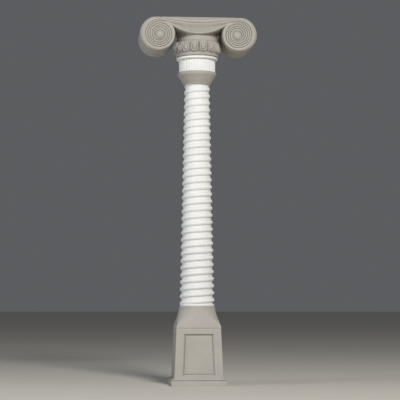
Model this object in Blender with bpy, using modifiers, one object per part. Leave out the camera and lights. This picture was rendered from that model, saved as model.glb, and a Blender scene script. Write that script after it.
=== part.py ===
"""Ionic column with a twisted shaft, in five pieces that stand on one another.

Metres, +Z up. The origin is the middle of the pedestal's underside, and the column's front faces -Y.
Heights inside a function are measured from the foot of the piece that it makes.
"""

import math

import bmesh
import bpy
from mathutils import Matrix

# Joint left open between two pieces that stand on each other
JOINT_GAP = 0.0003

# Pedestal: plinth, sloping weathering, tapered die, and a flare from square to round
# The flare's corners are gone at FLARE_CORNER_SHARE of its height
PLINTH_SIDE = 0.407
PLINTH_HEIGHT = 0.0415
WEATHERING_HEIGHT = 0.0145
DIE_HEIGHT = 0.356
DIE_FOOT_SIDE = 0.357
DIE_HEAD_SIDE = 0.325
FLARE_HEIGHT = 0.162
FLARE_TOP_RADIUS = 0.133
FLARE_CORNER_SHARE = 0.85
PANEL_FOOT_MARGIN = 0.022
PANEL_HEAD_MARGIN = 0.040
PANEL_SIDE_MARGIN = 0.060
PANEL_DEPTH = 0.009
PANEL_BEVEL = 0.010

# Twisted shaft: one bead and one hollow wind up it as a right-handed screw
SHAFT_HEIGHT = 1.6405
SHAFT_FOOT_RADIUS = 0.1226
SHAFT_HEAD_RADIUS = 0.0907
TWIST_PITCH = 0.0521
TWIST_FRONT_HEIGHT = 0.038
TWIST_FOOT_DEPTH = 0.0135
TWIST_HEAD_DEPTH = 0.0085
TWIST_RUN_OUT = 0.022
FOOT_RING_HEIGHT = 0.0165
FOOT_RING_SETBACK = 0.006
FOOT_RING_ROUNDING = 0.005

# Collar between shaft and necking
COLLAR_HEIGHT = 0.094
COLLAR_LIP_PROJECTION = 0.0115
COLLAR_LIP_HEIGHT = 0.007
COLLAR_BELLY_RADIUS = 0.1445
COLLAR_BELLY_HEIGHT = 0.0775
COLLAR_BELLY_DROP = 0.020

# Necking: a reeded drum with a ring at its head
NECK_HEIGHT = 0.1105
NECK_RADIUS = 0.1352
REED_COUNT = 60
REED_DEPTH = 0.0035
NECK_RING_HEIGHT = 0.0215
NECK_RING_PROJECTION = 0.0186

# Capital: echinus with eggs and darts, drum, cushion and two volutes
CAPITAL_HEIGHT = 0.281
CAPITAL_DEPTH = 0.333
ECHINUS_HEIGHT = 0.1205
ECHINUS_LIP_RADIUS = 0.1734
ECHINUS_LIP_HEIGHT = 0.059
ECHINUS_ROLL_PROJECTION = 0.008
ECHINUS_ROLL_HEIGHT = 0.022
ECHINUS_ROLL_ROUNDING = 0.0035
ECHINUS_GROOVE_HEIGHT = 0.0275
ECHINUS_GROOVE_DEPTH = 0.0016
DRUM_RADIUS = 0.1457
EGG_COUNT = 16
EGG_WIDTH = 0.042
EGG_LENGTH = 0.062
EGG_HEIGHT = 0.067
EGG_PROJECTION = 0.008
DART_WIDTH = 0.008
DART_LENGTH = 0.050
CUSHION_SAG_HEIGHT = 0.153
CUSHION_SAG_RADIUS = 0.345
CUSHION_SETBACK = 0.002
CUSHION_RIM_RADIUS = 0.006
CUSHION_SAG_OVERLAP = 0.033
CUSHION_RIM_OVERLAP = 0.042
VOLUTE_SPACING = 0.606
VOLUTE_HEIGHT = 0.1567
VOLUTE_RADIUS = 0.131
VOLUTE_FACE_RADIUS = 0.105
VOLUTE_SHOULDER_LENGTH = 0.042
EYE_SPACING = 0.571
EYE_HEIGHT = 0.1456
EYE_RADIUS = 0.024
EYE_RISE = 0.009
SPIRAL_RADIUS = 0.0975
FRONT_SPIRAL_TURNS = 3.5
BACK_SPIRAL_TURNS = 1.5
SPIRAL_FILLET_RADIUS = 0.0055

# Fineness of the round work
FLARE_ROWS = 8
FLARE_SEGMENTS = 24
SHAFT_SEGMENTS = 14
TURNED_SEGMENTS = 28
VOLUTE_SEGMENTS = 22
SHOULDER_STEPS = 3
SPIRAL_STEPS = 10
SPIRAL_INWARD_STRIDE = 1.25
SAG_STEPS = 12
MERGE_DISTANCE = 0.00001
TWIST_MERGE_DISTANCE = 0.00005

# Heights at which the pieces begin
SHAFT_FOOT = PLINTH_HEIGHT + WEATHERING_HEIGHT + DIE_HEIGHT + FLARE_HEIGHT
COLLAR_FOOT = SHAFT_FOOT + SHAFT_HEIGHT
NECK_FOOT = COLLAR_FOOT + COLLAR_HEIGHT
CAPITAL_FOOT = NECK_FOOT + NECK_HEIGHT

QUARTER = math.pi / 2
FRONT = -QUARTER


def clear_scene():
    for item in list(bpy.data.objects):
        bpy.data.objects.remove(item, do_unlink=True)


def make_collection(name):
    collection = bpy.data.collections.new(name)
    bpy.context.scene.collection.children.link(collection)
    return collection


def make_material(name, colour, roughness):
    material = bpy.data.materials.new(name)
    material.use_nodes = True
    shader = material.node_tree.nodes["Principled BSDF"]
    shader.inputs["Base Color"].default_value = (*colour, 1.0)
    shader.inputs["Roughness"].default_value = roughness
    shader.inputs["Metallic"].default_value = 0.0
    return material


def smoothstep(share):
    share = min(max(share, 0.0), 1.0)
    return share * share * (3.0 - 2.0 * share)


def mix(start, end, share):
    return start + (end - start) * share


def add_object(name, mesh, collection):
    item = bpy.data.objects.new(name, mesh)
    collection.objects.link(item)
    return item


def add_tool(name, mesh):
    """A body that shapes a piece through a Boolean, kept out of the model itself."""
    item = add_object(name, mesh, TOOLS)
    item.hide_render = True
    item.display_type = "WIRE"
    return item


def mesh_from(build):
    mesh = bpy.data.meshes.new("shape")
    build.to_mesh(mesh)
    build.free()
    return mesh


def evaluated_mesh(item):
    """The object's mesh with its modifiers done, and the object removed."""
    bpy.context.view_layer.update()
    mesh = bpy.data.meshes.new_from_object(item.evaluated_get(bpy.context.evaluated_depsgraph_get()))
    bpy.data.objects.remove(item, do_unlink=True)
    return mesh


def welded_mesh(item):
    """The same, with the loose caps of a curve joined to its wall."""
    build = bmesh.new()
    build.from_mesh(evaluated_mesh(item))
    bmesh.ops.remove_doubles(build, verts=build.verts, dist=MERGE_DISTANCE)
    bmesh.ops.recalc_face_normals(build, faces=build.faces)
    return mesh_from(build)


def turned_mesh(profile, segments):
    """A profile of (radius, height) points, top to bottom down its outer side, turned about Z."""
    line = bpy.data.meshes.new("profile")
    line.from_pydata([(radius, 0.0, height) for radius, height in profile],
                     [(i, i + 1) for i in range(len(profile) - 1)], [])
    item = add_object("profile", line, TOOLS)
    screw = item.modifiers.new("Turn", "SCREW")
    screw.steps = screw.render_steps = segments
    screw.use_merge_vertices = True
    screw.merge_threshold = MERGE_DISTANCE
    return evaluated_mesh(item)


def curve_mesh(paths, bevel_radius):
    """Four-sided ridges along open paths, with closed ends."""
    curve = bpy.data.curves.new("ridge", "CURVE")
    curve.dimensions = "3D"
    curve.bevel_depth = bevel_radius
    curve.bevel_resolution = 0
    curve.use_fill_caps = True
    curve.twist_mode = "MINIMUM"
    for path in paths:
        spline = curve.splines.new("POLY")
        spline.points.add(len(path) - 1)
        for point, place in zip(spline.points, path):
            point.co = (*place, 1.0)
    return welded_mesh(add_object("ridge", curve, TOOLS))


def boolean(item, tool, operation):
    modifier = item.modifiers.new(tool.name, "BOOLEAN")
    modifier.operation = operation
    modifier.object = tool
    modifier.solver = "EXACT"


def finish(item, material, angle=35.0):
    """Bakes the modifiers into the piece, so that its edges can be shaded by their angle."""
    bpy.context.view_layer.update()
    mesh = bpy.data.meshes.new_from_object(item.evaluated_get(bpy.context.evaluated_depsgraph_get()))
    item.modifiers.clear()
    item.data = mesh
    mesh.name = item.name
    mesh.materials.clear()
    mesh.materials.append(material)
    mesh.shade_smooth()
    mesh.set_sharp_from_angle(angle=math.radians(angle))
    return item


def rounded_square(half_side, radius, squareness, height):
    """One level of the flare: a circle at squareness 0, a square at 1."""
    points = []
    for i in range(FLARE_SEGMENTS):
        angle = 2.0 * math.pi * i / FLARE_SEGMENTS
        square = half_side / max(abs(math.cos(angle)), abs(math.sin(angle)))
        reach = mix(radius, square, squareness)
        points.append((reach * math.cos(angle), reach * math.sin(angle), height))
    return points


def loft(levels):
    """A closed body through level outlines that all have as many points, from the foot up."""
    build = bmesh.new()
    rings = [[build.verts.new(point) for point in level] for level in levels]
    for lower, upper in zip(rings, rings[1:]):
        for i in range(len(lower)):
            j = (i + 1) % len(lower)
            build.faces.new((lower[i], lower[j], upper[j], upper[i]))
    build.faces.new(list(reversed(rings[0])))
    build.faces.new(rings[-1])
    bmesh.ops.recalc_face_normals(build, faces=build.faces)
    return mesh_from(build)


def panel_cutter():
    """The sunk panel of the front face: a block whose sloping sides run on out past the face."""
    lean = (DIE_FOOT_SIDE - DIE_HEAD_SIDE) / 2 / DIE_HEIGHT
    build = bmesh.new()
    bmesh.ops.create_cube(build, size=2.0)
    for vertex in build.verts:
        sunk = 1.0 if vertex.co.y > 0 else -0.5
        inset = PANEL_BEVEL * sunk
        if vertex.co.z > 0:
            height = DIE_HEIGHT - PANEL_HEAD_MARGIN - inset
        else:
            height = PANEL_FOOT_MARGIN + inset
        face = DIE_FOOT_SIDE / 2 - lean * height
        half_width = face - PANEL_SIDE_MARGIN - inset
        vertex.co = (math.copysign(half_width, vertex.co.x), PANEL_DEPTH * sunk - face,
                     PLINTH_HEIGHT + WEATHERING_HEIGHT + height)
    return mesh_from(build)


def make_pedestal():
    plinth = PLINTH_SIDE / 2
    die_foot = DIE_FOOT_SIDE / 2
    die_head = DIE_HEAD_SIDE / 2
    weathering_top = PLINTH_HEIGHT + WEATHERING_HEIGHT
    flare_foot = weathering_top + DIE_HEIGHT
    levels = [rounded_square(plinth, plinth, 1.0, 0.0),
              rounded_square(plinth, plinth, 1.0, PLINTH_HEIGHT),
              rounded_square(die_foot, die_foot, 1.0, weathering_top)]
    for row in range(FLARE_ROWS):
        share = row / (FLARE_ROWS - 1)
        reach = mix(die_head, FLARE_TOP_RADIUS, smoothstep(share))
        squareness = 1.0 - smoothstep(share / FLARE_CORNER_SHARE)
        height = mix(flare_foot, SHAFT_FOOT - JOINT_GAP, share)
        levels.append(rounded_square(reach, reach, squareness, height))
    pedestal = add_object("pedestal", loft(levels), COLUMN)
    for side in range(4):
        cutter = add_tool(f"panel_cutter_{side + 1}", panel_cutter())
        cutter.rotation_euler.z = side * QUARTER
        boolean(pedestal, cutter, "DIFFERENCE")
    return finish(pedestal, CAST_STONE, 20.0)


def shaft_radius(height):
    return mix(SHAFT_FOOT_RADIUS, SHAFT_HEAD_RADIUS, height / SHAFT_HEIGHT)


def twist_profile():
    """One pitch of the twist, top to bottom: (share of the pitch, rise from the mean radius in depths)."""
    return [(1.00, 0.50), (0.80, 0.16), (0.58, -0.50), (0.27, -0.34), (0.00, 0.50)]


def twisted_mesh():
    """The bead and hollow wound up the shaft, cut level at both ends, with its taper and run-out."""
    spare = 2
    turns = math.ceil(SHAFT_HEIGHT / TWIST_PITCH) + spare + 1
    start = TWIST_FRONT_HEIGHT - spare * TWIST_PITCH
    line = bpy.data.meshes.new("twist")
    points = twist_profile()
    line.from_pydata([(1.0 + rise, 0.0, start + share * TWIST_PITCH) for share, rise in points],
                     [(i, i + 1) for i in range(len(points) - 1)], [])
    item = add_object("twist", line, TOOLS)
    screw = item.modifiers.new("Twist", "SCREW")
    screw.steps = screw.render_steps = SHAFT_SEGMENTS
    screw.screw_offset = TWIST_PITCH
    screw.iterations = turns
    weld = item.modifiers.new("Weld", "WELD")
    weld.merge_threshold = TWIST_MERGE_DISTANCE
    build = bmesh.new()
    build.from_mesh(evaluated_mesh(item))
    bmesh.ops.rotate(build, verts=build.verts, matrix=Matrix.Rotation(FRONT, 3, "Z"))
    head = SHAFT_HEIGHT - JOINT_GAP
    for height, upward in ((FOOT_RING_HEIGHT / 2, -1.0), (head, 1.0)):
        bmesh.ops.bisect_plane(build, geom=[*build.verts, *build.edges, *build.faces], clear_outer=True,
                               plane_co=(0.0, 0.0, height), plane_no=(0.0, 0.0, upward))
    for vertex in build.verts:
        height = vertex.co.z
        rise = vertex.co.xy.length - 1.0
        depth = mix(TWIST_FOOT_DEPTH, TWIST_HEAD_DEPTH, height / SHAFT_HEIGHT)
        fade = smoothstep((head - height) / TWIST_RUN_OUT)
        radius = shaft_radius(height) + depth * rise * fade
        vertex.co.xy = vertex.co.xy.normalized() * radius
    bmesh.ops.holes_fill(build, edges=[edge for edge in build.edges if edge.is_boundary], sides=0)
    bmesh.ops.recalc_face_normals(build, faces=build.faces)
    return mesh_from(build)


def make_shaft():
    shaft = add_object("twisted_shaft", twisted_mesh(), COLUMN)
    shaft.location.z = SHAFT_FOOT
    radius = FLARE_TOP_RADIUS - FOOT_RING_SETBACK
    ring = turned_mesh([(0.0, FOOT_RING_HEIGHT), (radius - FOOT_RING_ROUNDING, FOOT_RING_HEIGHT),
                        (radius, FOOT_RING_HEIGHT - FOOT_RING_ROUNDING), (radius, FOOT_RING_ROUNDING),
                        (radius - FOOT_RING_ROUNDING / 2, 0.0), (0.0, 0.0)], TURNED_SEGMENTS)
    tool = add_tool("foot_ring", ring)
    tool.location.z = SHAFT_FOOT
    boolean(shaft, tool, "UNION")
    return finish(shaft, WHITE_STONE, 50.0)


def make_collar():
    """A bell: a narrow lip below, a slanting side, and a round belly drawn in to the necking above."""
    foot = SHAFT_HEAD_RADIUS + COLLAR_LIP_PROJECTION
    head = COLLAR_HEIGHT - JOINT_GAP
    profile = [(0.0, head)]
    for angle in (QUARTER, QUARTER / 2):
        profile.append((mix(NECK_RADIUS, COLLAR_BELLY_RADIUS, math.cos(angle)),
                        mix(COLLAR_BELLY_HEIGHT, head, math.sin(angle))))
    for angle in (0.0, QUARTER / 4, QUARTER / 2):
        profile.append((COLLAR_BELLY_RADIUS - COLLAR_BELLY_DROP * (1.0 - math.cos(angle)),
                        COLLAR_BELLY_HEIGHT - COLLAR_BELLY_DROP * math.sin(angle)))
    profile += [(foot, COLLAR_LIP_HEIGHT), (foot, 0.0), (0.0, 0.0)]
    collar = add_object("collar", turned_mesh(profile, TURNED_SEGMENTS), COLUMN)
    collar.location.z = COLLAR_FOOT
    return finish(collar, CAST_STONE)


def make_necking():
    """A drum cut all round with upright reeds, under a half-round ring."""
    reed_top = NECK_HEIGHT - NECK_RING_HEIGHT
    levels = []
    for height in (0.0, reed_top + NECK_RING_HEIGHT / 2):
        level = []
        for i in range(2 * REED_COUNT):
            angle = FRONT + math.pi * i / REED_COUNT
            radius = NECK_RADIUS - (REED_DEPTH if i % 2 else 0.0)
            level.append((radius * math.cos(angle), radius * math.sin(angle), height))
        levels.append(level)
    necking = add_object("necking", loft(levels), COLUMN)
    necking.location.z = NECK_FOOT
    outer = NECK_RADIUS + NECK_RING_PROJECTION
    half = (NECK_RING_HEIGHT - JOINT_GAP) / 2
    profile = [(0.0, NECK_HEIGHT - JOINT_GAP)]
    for step in range(5):
        angle = QUARTER * (1.0 - step / 2.0)
        profile.append((outer - half + half * math.cos(angle), reed_top + half + half * math.sin(angle)))
    profile.append((0.0, reed_top))
    ring = add_tool("neck_ring", turned_mesh(profile, TURNED_SEGMENTS))
    ring.location.z = NECK_FOOT
    boolean(necking, ring, "UNION")
    return finish(necking, WHITE_STONE, 25.0)


def ovolo_point(share):
    """A point on the round of the echinus, from its lip at 0 to the drum at 1, as (radius, height)."""
    angle = QUARTER * share
    return (mix(DRUM_RADIUS, ECHINUS_LIP_RADIUS, math.cos(angle)),
            mix(ECHINUS_LIP_HEIGHT, ECHINUS_HEIGHT, math.sin(angle)))


def echinus_profile():
    """The turned body under the cushion, top to bottom."""
    foot = NECK_RADIUS + NECK_RING_PROJECTION
    roll = foot + ECHINUS_ROLL_PROJECTION
    inside_cushion = mix(CUSHION_SAG_HEIGHT, CAPITAL_HEIGHT, 0.5)
    profile = [(0.0, inside_cushion), (DRUM_RADIUS, inside_cushion)]
    profile += [ovolo_point(share) for share in (1.0, 0.67, 0.33, 0.0)]
    profile += [(ECHINUS_LIP_RADIUS, mix(ECHINUS_GROOVE_HEIGHT, ECHINUS_LIP_HEIGHT, 0.5)),
                (roll - ECHINUS_GROOVE_DEPTH, ECHINUS_GROOVE_HEIGHT),
                (roll, ECHINUS_ROLL_HEIGHT - ECHINUS_ROLL_ROUNDING),
                (roll, 2.0 * ECHINUS_ROLL_ROUNDING),
                (foot, 0.0), (0.0, 0.0)]
    return profile


def eggs_and_darts():
    """Eggs set round the echinus, with a dart between each two and one dart at the front."""
    low, high = ovolo_point(0.0), ovolo_point(0.6)
    lean = math.atan2(low[0] - high[0], high[1] - low[1])
    sunk = EGG_PROJECTION / 2
    radius = ECHINUS_LIP_RADIUS - sunk
    build = bmesh.new()
    for i in range(2 * EGG_COUNT):
        turn = Matrix.Rotation(FRONT + math.pi * i / EGG_COUNT, 4, "Z")
        place = turn @ Matrix.Translation((radius, 0.0, EGG_HEIGHT)) @ Matrix.Rotation(-lean, 4, "Y")
        if i % 2:
            shape = Matrix.Diagonal((EGG_PROJECTION + sunk, EGG_WIDTH / 2, EGG_LENGTH / 2, 1.0))
            bmesh.ops.create_uvsphere(build, u_segments=6, v_segments=5, radius=1.0, matrix=place @ shape)
        else:
            bmesh.ops.create_cone(build, cap_ends=True, segments=4, radius1=DART_WIDTH / 2,
                                  radius2=DART_WIDTH, depth=DART_LENGTH, matrix=place)
    return mesh_from(build)


def shoulder():
    """The volute's round margin, from its face at 0 to its full girth at 1: (share out, depth)."""
    steps = [QUARTER * step / SHOULDER_STEPS for step in range(SHOULDER_STEPS + 1)]
    return [(math.sin(angle), CAPITAL_DEPTH / 2 - VOLUTE_SHOULDER_LENGTH * (1.0 - math.cos(angle)))
            for angle in steps]


def volute_level(side, share, depth):
    """One round of the bolster: about the eye on the face, about the bolster's own axis at share 1."""
    across = side * mix(EYE_SPACING, VOLUTE_SPACING, share) / 2
    height = mix(EYE_HEIGHT, VOLUTE_HEIGHT, share)
    radius = mix(VOLUTE_FACE_RADIUS, VOLUTE_RADIUS, share)
    angles = [2.0 * math.pi * i / VOLUTE_SEGMENTS for i in range(VOLUTE_SEGMENTS)]
    return [(across + radius * math.cos(angle), depth, height + radius * math.sin(angle)) for angle in angles]


def volute_mesh(side):
    """A loft, because its round margin is broad on the outer side and narrow on the inner."""
    front = [volute_level(side, share, -depth) for share, depth in shoulder()]
    back = [volute_level(side, share, depth) for share, depth in reversed(shoulder())]
    return loft(front + back)


def extruded(outline, way):
    """A flat outline, given as points in space, pushed along a vector into a closed body."""
    build = bmesh.new()
    face = build.faces.new([build.verts.new(point) for point in outline])
    walls = bmesh.ops.extrude_face_region(build, geom=[face])
    moved = [item for item in walls["geom"] if isinstance(item, bmesh.types.BMVert)]
    bmesh.ops.translate(build, verts=moved, vec=way)
    bmesh.ops.recalc_face_normals(build, faces=build.faces)
    return mesh_from(build)


def cushion_mesh():
    """The band between the volutes: their own shoulder drawn straight from one to the other."""
    face_top = EYE_HEIGHT + VOLUTE_FACE_RADIUS
    girth_top = VOLUTE_HEIGHT + VOLUTE_RADIUS
    low = CUSHION_SAG_HEIGHT - VOLUTE_SHOULDER_LENGTH
    half = [(depth - CUSHION_SETBACK, mix(face_top, girth_top, share)) for share, depth in shoulder()]
    outline = [(half[0][0], low), *half, *((-across, height) for across, height in reversed(half)),
               (-half[0][0], low)]
    return extruded([(-EYE_SPACING / 2, *point) for point in outline], (EYE_SPACING, 0.0, 0.0))


def sag_height(across):
    drop = math.sqrt(CUSHION_SAG_RADIUS ** 2 - across ** 2)
    return CUSHION_SAG_HEIGHT + CUSHION_SAG_RADIUS - drop


def sag_steps(half_width):
    return [mix(-half_width, half_width, step / SAG_STEPS) for step in range(SAG_STEPS + 1)]


def sag_mesh():
    """What is taken from under the cushion, up to its sagging lower edge."""
    half_width = VOLUTE_SPACING / 2 - VOLUTE_RADIUS + CUSHION_SAG_OVERLAP
    outline = [(x, -CAPITAL_DEPTH, sag_height(x)) for x in sag_steps(half_width)]
    outline += [(half_width, -CAPITAL_DEPTH, 0.0), (-half_width, -CAPITAL_DEPTH, 0.0)]
    return extruded(outline, (0.0, 2.0 * CAPITAL_DEPTH, 0.0))


def rim_path(face):
    """Along the lower edge of the cushion, from inside one volute to inside the other."""
    half_width = VOLUTE_SPACING / 2 - VOLUTE_RADIUS + CUSHION_RIM_OVERLAP
    return [(x, face, sag_height(x)) for x in sag_steps(half_width)]


def spiral_path(face, turns):
    """From one eye out along its spiral, over the cushion and in to the other eye, on one face."""
    steps = round(turns * SPIRAL_STEPS)
    under_eye = EYE_RADIUS * 0.8
    half = []
    for step in range(steps + 1):
        share = (step / steps) ** SPIRAL_INWARD_STRIDE
        angle = QUARTER - 2.0 * math.pi * turns * share
        radius = mix(SPIRAL_RADIUS, under_eye, share)
        half.append((EYE_SPACING / 2 + radius * math.cos(angle), face, EYE_HEIGHT + radius * math.sin(angle)))
    return [(-x, y, z) for x, y, z in reversed(half)] + half


def eyes_mesh():
    build = bmesh.new()
    for side in (-1.0, 1.0):
        for face in (-1.0, 1.0):
            matrix = Matrix.Translation((side * EYE_SPACING / 2, face * CAPITAL_DEPTH / 2, EYE_HEIGHT)) @ \
                Matrix.Rotation(QUARTER, 4, "X") @ Matrix.Diagonal((EYE_RADIUS, EYE_RADIUS, EYE_RISE, 1.0))
            bmesh.ops.create_uvsphere(build, u_segments=8, v_segments=6, radius=1.0, matrix=matrix)
    return mesh_from(build)


def top_mesh():
    """The block above the level bed that the capital's load rests on."""
    build = bmesh.new()
    bmesh.ops.create_cube(build, size=1.0)
    above = VOLUTE_HEIGHT + VOLUTE_RADIUS
    bmesh.ops.scale(build, verts=build.verts, vec=(VOLUTE_SPACING * 2, CAPITAL_DEPTH * 2, above))
    bmesh.ops.translate(build, verts=build.verts, vec=(0.0, 0.0, CAPITAL_HEIGHT + above / 2))
    return mesh_from(build)


def make_capital():
    capital = add_object("capital", cushion_mesh(), COLUMN)
    capital.location.z = CAPITAL_FOOT
    front = CAPITAL_DEPTH / 2
    shapes = [("sag", sag_mesh(), "DIFFERENCE")]
    for side, name in ((-1.0, "left"), (1.0, "right")):
        shapes.append((f"{name}_volute", volute_mesh(side), "UNION"))
    shapes.append(("echinus", turned_mesh(echinus_profile(), TURNED_SEGMENTS), "UNION"))
    shapes.append(("eggs_and_darts", eggs_and_darts(), "UNION"))
    shapes.append(("top", top_mesh(), "DIFFERENCE"))
    shapes.append(("rims", curve_mesh([rim_path(side * (front - CUSHION_SETBACK)) for side in (-1, 1)],
                                      CUSHION_RIM_RADIUS), "UNION"))
    spirals = [spiral_path(-front, FRONT_SPIRAL_TURNS), spiral_path(front, BACK_SPIRAL_TURNS)]
    shapes.append(("spirals", curve_mesh(spirals, SPIRAL_FILLET_RADIUS), "UNION"))
    shapes.append(("eyes", eyes_mesh(), "UNION"))
    for name, mesh, operation in shapes:
        tool = add_tool(name, mesh)
        tool.location.z = CAPITAL_FOOT
        boolean(capital, tool, operation)
    return finish(capital, CAST_STONE, 30.0)


clear_scene()
COLUMN = make_collection("twisted_ionic_column")
TOOLS = make_collection("shaping_tools")
CAST_STONE = make_material("warm_grey_cast_stone", (0.41, 0.39, 0.35), 0.75)
WHITE_STONE = make_material("white_cast_stone", (0.87, 0.87, 0.85), 0.6)

make_pedestal()
make_shaft()
make_collar()
make_necking()
make_capital()
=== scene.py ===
# %% [markdown]
# # An Ionic column with a twisted shaft
#
# The real column is cast stone, in five pieces that stand on one another: a square pedestal, a
# shaft wound like a rope, a bell-shaped collar, a reeded necking and a capital with two volutes.
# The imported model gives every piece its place. This script dresses each of them with a finer
# surface, because a cast column is read by its arrises, rolls and grooves. Most of the pieces
# follow a rule, such as a circle, a screw or a spiral, so most are grids of points worked out by
# a function, which keeps every size in one place.

import math

import bmesh
import bpy
import numpy as np
from mathutils import Matrix, Vector


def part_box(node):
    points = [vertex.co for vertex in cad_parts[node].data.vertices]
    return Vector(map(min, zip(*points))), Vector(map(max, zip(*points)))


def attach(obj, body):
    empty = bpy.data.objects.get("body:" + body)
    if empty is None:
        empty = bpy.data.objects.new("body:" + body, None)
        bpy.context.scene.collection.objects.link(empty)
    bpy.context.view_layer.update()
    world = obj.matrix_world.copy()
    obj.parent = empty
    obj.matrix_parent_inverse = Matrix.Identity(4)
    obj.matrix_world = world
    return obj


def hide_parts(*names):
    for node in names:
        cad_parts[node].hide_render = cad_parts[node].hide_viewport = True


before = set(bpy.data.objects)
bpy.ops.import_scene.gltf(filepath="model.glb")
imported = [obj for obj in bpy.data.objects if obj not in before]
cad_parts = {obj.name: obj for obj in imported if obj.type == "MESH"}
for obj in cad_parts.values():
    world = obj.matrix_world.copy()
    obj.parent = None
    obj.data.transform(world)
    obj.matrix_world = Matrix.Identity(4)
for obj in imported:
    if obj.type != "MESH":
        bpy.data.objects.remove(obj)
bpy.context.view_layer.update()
FOOT = {name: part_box(name)[0].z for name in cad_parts}
HEAD = {name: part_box(name)[1].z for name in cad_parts}
for name in sorted(FOOT, key=FOOT.get):
    print(f"{name} stands from {FOOT[name]:.4f} to {HEAD[name]:.4f} m")

# %% [markdown]
# ## Small helpers
#
# A turned or lofted piece is a grid: rows going up, columns going round. NumPy works out all of
# its points at once, and one helper turns the grid into a closed mesh with a flat cap at each
# end. A cap could also be a fan of triangles, but a single flat face shades cleanly.

# %% Grids of points to meshes
TURN = 2.0 * math.pi
QUARTER = math.pi / 2.0


def mix(start, end, share):
    return start + (end - start) * share


def smooth(share):
    share = np.clip(share, 0.0, 1.0)
    return share * share * (3.0 - 2.0 * share)


def dip(distance, width):
    """1 on a line, falling to 0 on both sides of it within about twice the width."""
    return np.exp(-(distance / width) ** 2)


def link(name, mesh):
    piece = bpy.data.objects.new(name, mesh)
    bpy.context.scene.collection.objects.link(piece)
    return piece


def shade(mesh, angle=40.0):
    mesh.shade_smooth()
    mesh.set_sharp_from_angle(angle=math.radians(angle))


def grid_mesh(name, points):
    """A closed mesh from rows of points that each go once round, with a flat face at both ends."""
    rows, columns = points.shape[:2]
    row, column = np.mgrid[0:rows - 1, 0:columns]
    after = (column + 1) % columns
    quads = np.stack([row * columns + column, row * columns + after,
                      (row + 1) * columns + after, (row + 1) * columns + column], axis=-1)
    faces = quads.reshape(-1, 4).tolist()
    faces.append(list(range(columns))[::-1])
    faces.append(list(range((rows - 1) * columns, rows * columns)))
    mesh = bpy.data.meshes.new(name)
    mesh.from_pydata(points.reshape(-1, 3).tolist(), [], faces)
    mesh.update()
    return mesh


def turned(radii, heights, columns):
    """Points of a body turned about the column's axis, from its foot up."""
    angle = np.linspace(0.0, TURN, columns, endpoint=False)
    radii, heights = np.asarray(radii)[:, None], np.asarray(heights)[:, None]
    return np.stack([radii * np.cos(angle), radii * np.sin(angle), heights + 0.0 * angle], axis=-1)


def arc(centre, size, start, end, steps):
    """Points of an ellipse's arc as (radius, height), between two angles in degrees."""
    angles = np.radians(np.linspace(start, end, steps + 1))
    return [(centre[0] + size[0] * math.cos(a), centre[1] + size[1] * math.sin(a)) for a in angles]


def dress(piece, node, finish):
    """Gives a piece its finish, hangs it on the root body and hides the imported part that it stands for."""
    piece.data.materials.clear()
    piece.data.materials.append(finish)
    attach(piece, "root")
    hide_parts(node)
    piece.data.calc_loop_triangles()
    print(f"{piece.name}: {len(piece.data.loop_triangles)} triangles")


print("helpers ready")

# %% [markdown]
# ## Shader maths written as sums
#
# A stone finish is a dozen small sums on noise. Wiring each Math node by hand hides what the sum
# is, so one small class wraps a node's output and lets Python's own operators add the nodes. One
# method makes every other kind of node: it takes the node's settings first and then what goes
# into its sockets.

# %% A socket that does sums, and a finish that makes nodes
class Value:
    """One output of a node, for sums with numbers or with other outputs."""

    def __init__(self, finish, socket):
        self.finish = finish
        self.socket = socket

    def math(self, operation, first, second):
        return self.finish.node("ShaderNodeMath", {"operation": operation}, {0: first, 1: second})

    def __add__(self, other):
        return self.math("ADD", self, other)

    def __sub__(self, other):
        return self.math("SUBTRACT", self, other)

    def __mul__(self, other):
        return self.math("MULTIPLY", self, other)


class Finish:
    """A material with one method that makes any node in it."""

    def __init__(self, name):
        self.material = bpy.data.materials.new(name)
        self.material.use_nodes = True
        self.tree = self.material.node_tree
        self.shader = self.tree.nodes["Principled BSDF"]

    def feed(self, socket, value):
        if isinstance(value, Value):
            self.tree.links.new(value.socket, socket)
        else:
            socket.default_value = value

    def node(self, kind, settings, inputs, output=0):
        made = self.tree.nodes.new(kind)
        for key, value in settings.items():
            setattr(made, key, value)
        for key, value in inputs.items():
            self.feed(made.inputs[key], value)
        return Value(self, made.outputs[output])


print("shader helpers ready")

# %% [markdown]
# ## Stone finishes
#
# Cast stone is sand and cement pressed into a mould. Close to, it has a fine sandy grain and a
# few pinholes left by trapped air. From a step away it is almost one colour, a little cloudy,
# with pale worn arrises. Its grooves and hollows are darkened in the colour, partly as dust and
# partly as painted shade, the shade that falls in them. Photographs of stone would repeat and
# stretch over the mouldings, so the finish is made of noise in the column's own space. The
# warm grey, the slightly paler grey of the pedestal and the white differ only in colour and in how
# strong each of these is. The pedestal's paler grey is partly its own tone and partly painted
# light, a lighter copy of the warm grey.

# %% The stone
GREY = (0.430, 0.403, 0.362, 1.0)
GREY_SHADE = (0.396, 0.373, 0.338, 1.0)
# The dark colour marks pinholes and sand specks as dust, and darkens the hollows as dust and painted shade.
GREY_DUST_AND_SHADE = (0.120, 0.108, 0.092, 1.0)
GREY_WORN = (0.495, 0.467, 0.423, 1.0)
# The pedestal's paler grey is partly its own tone and partly painted light: a lighter copy of the warm grey
# that stands in for more light on the pedestal.
PAINTED_LIGHT_PALE_GREY = (0.462, 0.434, 0.396, 1.0)
PAINTED_LIGHT_PALE_GREY_SHADE = (0.430, 0.405, 0.372, 1.0)
PAINTED_LIGHT_PALE_GREY_WORN = (0.520, 0.492, 0.450, 1.0)
WHITE = (0.870, 0.868, 0.850, 1.0)
WHITE_SHADE = (0.820, 0.818, 0.805, 1.0)
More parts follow.
